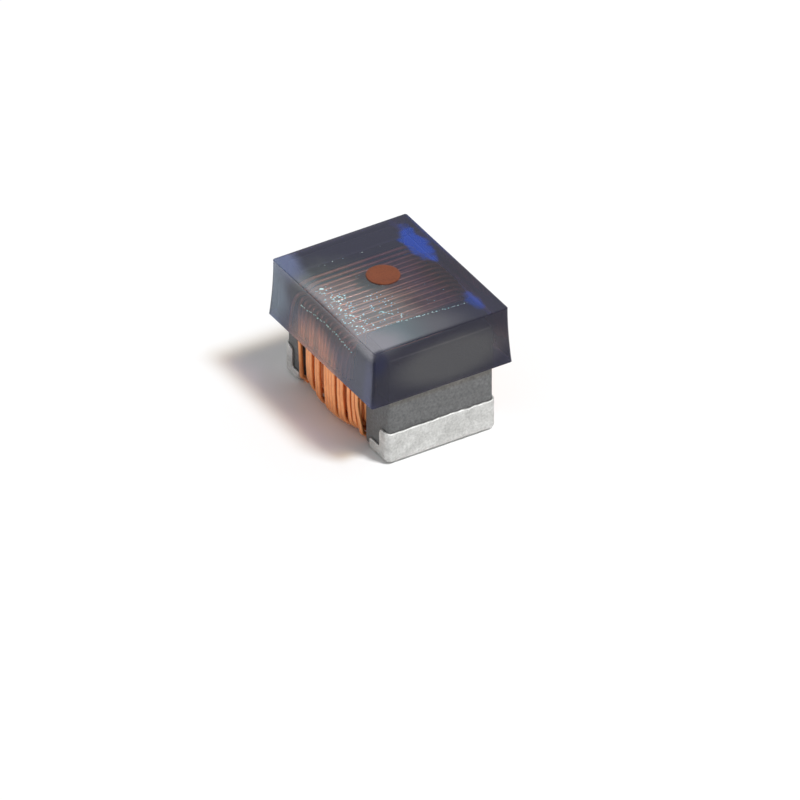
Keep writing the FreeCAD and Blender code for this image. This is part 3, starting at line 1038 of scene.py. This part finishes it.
def makePaintDot():
    middle = (dotLow + dotHigh) / 2
    radius = (dotHigh.x - dotLow.x) / 2
    rings = []
    for share, lift in paint["profile"]:
        ring = []
        for i in range(paint["steps"]):
            angle = 2 * math.pi * i / paint["steps"]
            heading = Vector((math.cos(angle), math.sin(angle), 0))
            uneven = 1 - paint["unevenRim"] * (0.5 + noise.noise(heading * paint["rimWaves"]))
            place = Vector((middle.x, middle.y, 0)) + heading * radius * share * uneven
            place.z = dotLow.z + (dotHigh.z - dotLow.z) * lift
            ring.append(place)
        rings.append(ring)
    piece = addObject("paintDot", meshFromRings("paintDot", rings))
    rust = grainyMaterial("rustPaint", paint)
    settle(piece, rust, ["colour_dot"], paint["sharpAngle"])


makePaintDot()
print("dot painted")


# Floor, light and camera

studio = {
    "floorSize": 0.6,
    "floorDrop": 0.000001,
    "floorColour": (0.97, 0.97, 0.97),
    "worldLight": 0.38,
    "keyLevel": 0.79,
    "keyHeading": (0.85, 0.52),
    "keyElevation": 62.7,
    "keyDistance": 0.5,
    "keySize": 0.09,
    "azimuth": 58.71,
    "elevation": 34.63,
    "pixelsPerMm": 94.99,
    "framePixels": 800,
    "aimPixel": (390.22, 340.47),
    "aimHeight": 0.75,
    "lens": 1280,
    "sensor": 36,
    "clip": (0.05, 20),
}


def makeFloor():
    half, drop = studio["floorSize"] / 2, -studio["floorDrop"]
    mesh = bpy.data.meshes.new("floor")
    corners = [(-half, -half, drop), (half, -half, drop), (half, half, drop), (-half, half, drop)]
    mesh.from_pydata(corners, [], [(0, 1, 2, 3)])
    floor = addObject("floor", mesh)
    material, _, _, shader = newMaterial("paleFloor")
    shader.inputs["Base Color"].default_value = (*studio["floorColour"], 1)
    shader.inputs["Roughness"].default_value = 1.0
    shader.inputs["Specular IOR Level"].default_value = 0.0
    mesh.materials.append(material)


def makeWorld():  # white where it is seen, dimmer as a light
    world = bpy.data.worlds.new("studioWorld")
    scene.world = world
    world.use_nodes = True
    nodes, links = world.node_tree.nodes, world.node_tree.links
    background = nodes["Background"]
    background.inputs["Color"].default_value = (1, 1, 1, 1)
    lightPath = nodes.new("ShaderNodeLightPath")
    seen = lightPath.outputs["Is Camera Ray"]
    for ray in ("Is Glossy Ray", "Is Transmission Ray"):
        either = mathNode(nodes, "MAXIMUM")
        links.new(seen, either.inputs[0])
        links.new(lightPath.outputs[ray], either.inputs[1])
        seen = either.outputs[0]
    level = nodes.new("ShaderNodeMapRange")
    level.inputs["To Min"].default_value = studio["worldLight"]
    level.inputs["To Max"].default_value = 1.0
    links.new(seen, level.inputs["Value"])
    links.new(level.outputs[0], background.inputs["Strength"])


def addAimed(name, data, place, back):  # back is the way from what it looks at
    aimed = addObject(name, data)
    aimed.location = place
    aimed.rotation_mode = "QUATERNION"
    aimed.rotation_quaternion = back.to_track_quat("Z", "Y")
    return aimed


def makeSoftbox():  # the one lamp, as far away as its shadow asks
    distance = studio["keyDistance"]
    lamp = bpy.data.lights.new("softbox", "AREA")
    lamp.shape = "SQUARE"
    lamp.size = studio["keySize"]
    lamp.energy = studio["keyLevel"] * math.pi ** 2 * distance ** 2  # watts for that level
    elevation = math.radians(studio["keyElevation"])
    flat = Vector((*studio["keyHeading"], 0)).normalized() * math.cos(elevation)
    direction = flat + Vector((0, 0, math.sin(elevation)))
    addAimed("softbox", lamp, direction * distance, direction)


def makeCamera():
    azimuth, elevation = math.radians(studio["azimuth"]), math.radians(studio["elevation"])
    right = Vector((math.cos(azimuth), math.sin(azimuth), 0))
    flat = math.cos(elevation)
    back = Vector((math.sin(azimuth) * flat, -math.cos(azimuth) * flat, math.sin(elevation)))
    up = back.cross(right)
    half = studio["framePixels"] / 2
    aside = (half - studio["aimPixel"][0]) / studio["pixelsPerMm"]
    below = (half - studio["aimPixel"][1]) / studio["pixelsPerMm"]
    target = (Vector((0, 0, studio["aimHeight"])) + right * aside - up * below) * mm
    lens = bpy.data.cameras.new("productCamera")
    lens.lens = studio["lens"]
    lens.sensor_width = studio["sensor"]
    seen = studio["framePixels"] / studio["pixelsPerMm"] * mm
    distance = seen * studio["lens"] / studio["sensor"]
    lens.clip_start, lens.clip_end = (distance * share for share in studio["clip"])
    scene.camera = addAimed("productCamera", lens, target + back * distance, back)


makeFloor()
makeWorld()
makeSoftbox()
makeCamera()
scene.view_settings.view_transform = "Standard"
print("studio lit")
